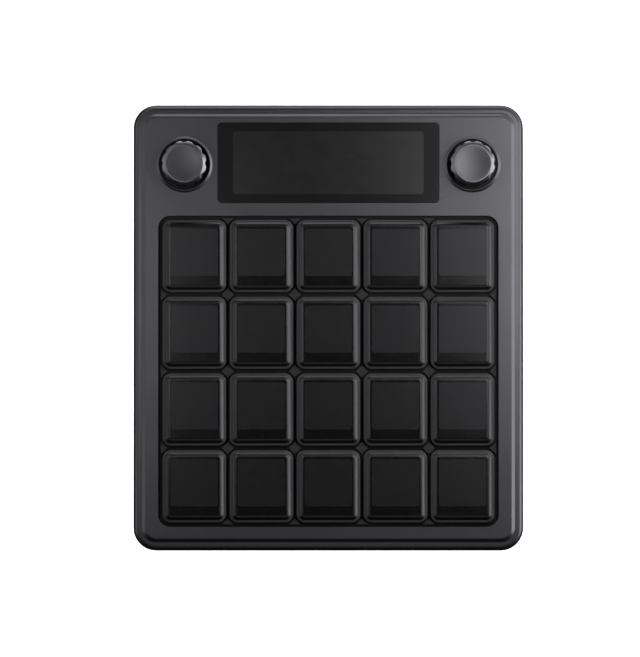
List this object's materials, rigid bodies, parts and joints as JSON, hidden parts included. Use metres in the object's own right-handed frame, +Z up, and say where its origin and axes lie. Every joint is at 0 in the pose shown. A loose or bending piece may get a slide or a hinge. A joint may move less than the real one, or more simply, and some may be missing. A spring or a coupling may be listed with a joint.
{
  "type": "macro keypad with knobs",
  "caption": "Desktop macro keypad: a grid of sculpted display keys below a wide display bar with a push-turn knob at each side.",
  "frame": {"origin": "centre of the footprint on the desk, at the bottom of the rubber feet", "axes": "+X to the user's right, +Y away from the user towards the display end, +Z up"},
  "size_m": [0.1164, 0.1332, 0.029],
  "materials": {
    "case_metallic": "bead-blasted and anodised, satin gunmetal",
    "frame_plastic": "matt black moulded plastic",
    "cover_glass": "black-backed cover glass, smooth and glossy",
    "adhesive": "matt black foam tape",
    "lcd_panel": "unlit LCD panel",
    "ribbon": "amber polyimide ribbon",
    "silicone": "black silicone",
    "circuit_board": "green solder mask",
    "light_guide": "white light guide",
    "chip_black": "moulded chip packages",
    "connector_plastic": "ivory plastic",
    "plated_steel": "nickel-plated steel",
    "knob_metal": "turned and anodised, dark grey",
    "black_steel": "blackened steel",
    "insert_brass": "turned brass",
    "foot_rubber": "matt black rubber",
    "key_plastic": "smoked clear keycap, polished, black round its window"
  },
  "bodies": {
    "case": {"top_case": "case_metallic", "bottom_cover": "case_metallic", "key_frame": "frame_plastic", "display_glass": "cover_glass", "display_tape": "adhesive", "display_panel": "lcd_panel", "display_flex": "ribbon", "dome_sheet": "silicone", "switch_board": "circuit_board", "key_display": "lcd_panel", "backlight": "light_guide", "display_tray": "frame_plastic", "key_display_flex": "ribbon", "switch_flex": "ribbon", "control_board": "circuit_board", "main_board": "circuit_board", "board_chips": "chip_black", "board_connectors": "connector_plastic", "usb_port": "plated_steel", "left_encoder": "plated_steel", "right_encoder": "plated_steel", "left_washer": "plated_steel", "right_washer": "plated_steel", "left_nut": "plated_steel", "right_nut": "plated_steel", "case_screws": "black_steel", "case_inserts": "insert_brass", "board_screws": "plated_steel", "rubber_feet": "foot_rubber"},
    "key_r1c1": {"key_r1c1": "key_plastic"},
    "key_r1c2": {"key_r1c2": "key_plastic"},
    "key_r1c3": {"key_r1c3": "key_plastic"},
    "key_r1c4": {"key_r1c4": "key_plastic"},
    "key_r1c5": {"key_r1c5": "key_plastic"},
    "key_r2c1": {"key_r2c1": "key_plastic"},
    "key_r2c2": {"key_r2c2": "key_plastic"},
    "key_r2c3": {"key_r2c3": "key_plastic"},
    "key_r2c4": {"key_r2c4": "key_plastic"},
    "key_r2c5": {"key_r2c5": "key_plastic"},
    "key_r3c1": {"key_r3c1": "key_plastic"},
    "key_r3c2": {"key_r3c2": "key_plastic"},
    "key_r3c3": {"key_r3c3": "key_plastic"},
    "key_r3c4": {"key_r3c4": "key_plastic"},
    "key_r3c5": {"key_r3c5": "key_plastic"},
    "key_r4c1": {"key_r4c1": "key_plastic"},
    "key_r4c2": {"key_r4c2": "key_plastic"},
    "key_r4c3": {"key_r4c3": "key_plastic"},
    "key_r4c4": {"key_r4c4": "key_plastic"},
    "key_r4c5": {"key_r4c5": "key_plastic"},
    "left_switch": {"left_plunger": "connector_plastic"},
    "left_dial": {"left_knob": "knob_metal", "left_shaft": "plated_steel"},
    "right_switch": {"right_plunger": "connector_plastic"},
    "right_dial": {"right_knob": "knob_metal", "right_shaft": "plated_steel"}
  },
  "joints": [
    {"name": "key_r1c1_press", "type": "slide", "parent": "case", "child": "key_r1c1", "axis": [0, 0, -1], "range_m": [0, 0.001], "stiffness_N_per_m": 300, "springref_m": -0.001, "deforming": ["dome_sheet"]},
    {"name": "key_r1c2_press", "type": "slide", "parent": "case", "child": "key_r1c2", "axis": [0, 0, -1], "range_m": [0, 0.001], "stiffness_N_per_m": 300, "springref_m": -0.001, "deforming": ["dome_sheet"]},
    {"name": "key_r1c3_press", "type": "slide", "parent": "case", "child": "key_r1c3", "axis": [0, 0, -1], "range_m": [0, 0.001], "stiffness_N_per_m": 300, "springref_m": -0.001, "deforming": ["dome_sheet"]},
    {"name": "key_r1c4_press", "type": "slide", "parent": "case", "child": "key_r1c4", "axis": [0, 0, -1], "range_m": [0, 0.001], "stiffness_N_per_m": 300, "springref_m": -0.001, "deforming": ["dome_sheet"]},
    {"name": "key_r1c5_press", "type": "slide", "parent": "case", "child": "key_r1c5", "axis": [0, 0, -1], "range_m": [0, 0.001], "stiffness_N_per_m": 300, "springref_m": -0.001, "deforming": ["dome_sheet"]},
    {"name": "key_r2c1_press", "type": "slide", "parent": "case", "child": "key_r2c1", "axis": [0, 0, -1], "range_m": [0, 0.001], "stiffness_N_per_m": 300, "springref_m": -0.001, "deforming": ["dome_sheet"]},
    {"name": "key_r2c2_press", "type": "slide", "parent": "case", "child": "key_r2c2", "axis": [0, 0, -1], "range_m": [0, 0.001], "stiffness_N_per_m": 300, "springref_m": -0.001, "deforming": ["dome_sheet"]},
    {"name": "key_r2c3_press", "type": "slide", "parent": "case", "child": "key_r2c3", "axis": [0, 0, -1], "range_m": [0, 0.001], "stiffness_N_per_m": 300, "springref_m": -0.001, "deforming": ["dome_sheet"]},
    {"name": "key_r2c4_press", "type": "slide", "parent": "case", "child": "key_r2c4", "axis": [0, 0, -1], "range_m": [0, 0.001], "stiffness_N_per_m": 300, "springref_m": -0.001, "deforming": ["dome_sheet"]},
    {"name": "key_r2c5_press", "type": "slide", "parent": "case", "child": "key_r2c5", "axis": [0, 0, -1], "range_m": [0, 0.001], "stiffness_N_per_m": 300, "springref_m": -0.001, "deforming": ["dome_sheet"]},
    {"name": "key_r3c1_press", "type": "slide", "parent": "case", "child": "key_r3c1", "axis": [0, 0, -1], "range_m": [0, 0.001], "stiffness_N_per_m": 300, "springref_m": -0.001, "deforming": ["dome_sheet"]},
    {"name": "key_r3c2_press", "type": "slide", "parent": "case", "child": "key_r3c2", "axis": [0, 0, -1], "range_m": [0, 0.001], "stiffness_N_per_m": 300, "springref_m": -0.001, "deforming": ["dome_sheet"]},
    {"name": "key_r3c3_press", "type": "slide", "parent": "case", "child": "key_r3c3", "axis": [0, 0, -1], "range_m": [0, 0.001], "stiffness_N_per_m": 300, "springref_m": -0.001, "deforming": ["dome_sheet"]},
    {"name": "key_r3c4_press", "type": "slide", "parent": "case", "child": "key_r3c4", "axis": [0, 0, -1], "range_m": [0, 0.001], "stiffness_N_per_m": 300, "springref_m": -0.001, "deforming": ["dome_sheet"]},
    {"name": "key_r3c5_press", "type": "slide", "parent": "case", "child": "key_r3c5", "axis": [0, 0, -1], "range_m": [0, 0.001], "stiffness_N_per_m": 300, "springref_m": -0.001, "deforming": ["dome_sheet"]},
    {"name": "key_r4c1_press", "type": "slide", "parent": "case", "child": "key_r4c1", "axis": [0, 0, -1], "range_m": [0, 0.001], "stiffness_N_per_m": 300, "springref_m": -0.001, "deforming": ["dome_sheet"]},
    {"name": "key_r4c2_press", "type": "slide", "parent": "case", "child": "key_r4c2", "axis": [0, 0, -1], "range_m": [0, 0.001], "stiffness_N_per_m": 300, "springref_m": -0.001, "deforming": ["dome_sheet"]},
    {"name": "key_r4c3_press", "type": "slide", "parent": "case", "child": "key_r4c3", "axis": [0, 0, -1], "range_m": [0, 0.001], "stiffness_N_per_m": 300, "springref_m": -0.001, "deforming": ["dome_sheet"]},
    {"name": "key_r4c4_press", "type": "slide", "parent": "case", "child": "key_r4c4", "axis": [0, 0, -1], "range_m": [0, 0.001], "stiffness_N_per_m": 300, "springref_m": -0.001, "deforming": ["dome_sheet"]},
    {"name": "key_r4c5_press", "type": "slide", "parent": "case", "child": "key_r4c5", "axis": [0, 0, -1], "range_m": [0, 0.001], "stiffness_N_per_m": 300, "springref_m": -0.001, "deforming": ["dome_sheet"]},
    {"name": "left_knob_press", "type": "slide", "parent": "case", "child": "left_switch", "axis": [0, 0, -1], "range_m": [0, 0.0005], "stiffness_N_per_m": 2500, "springref_m": -0.0005},
    {"name": "left_knob_turn", "type": "hinge", "parent": "left_switch", "child": "left_dial", "pos_m": [-0.043, 0.04875, 0.024], "axis": [0, 0, 1], "continuous": true},
    {"name": "right_knob_press", "type": "slide", "parent": "case", "child": "right_switch", "axis": [0, 0, -1], "range_m": [0, 0.0005], "stiffness_N_per_m": 2500, "springref_m": -0.0005},
    {"name": "right_knob_turn", "type": "hinge", "parent": "right_switch", "child": "right_dial", "pos_m": [0.043, 0.04875, 0.024], "axis": [0, 0, 1], "continuous": true}
  ]
}
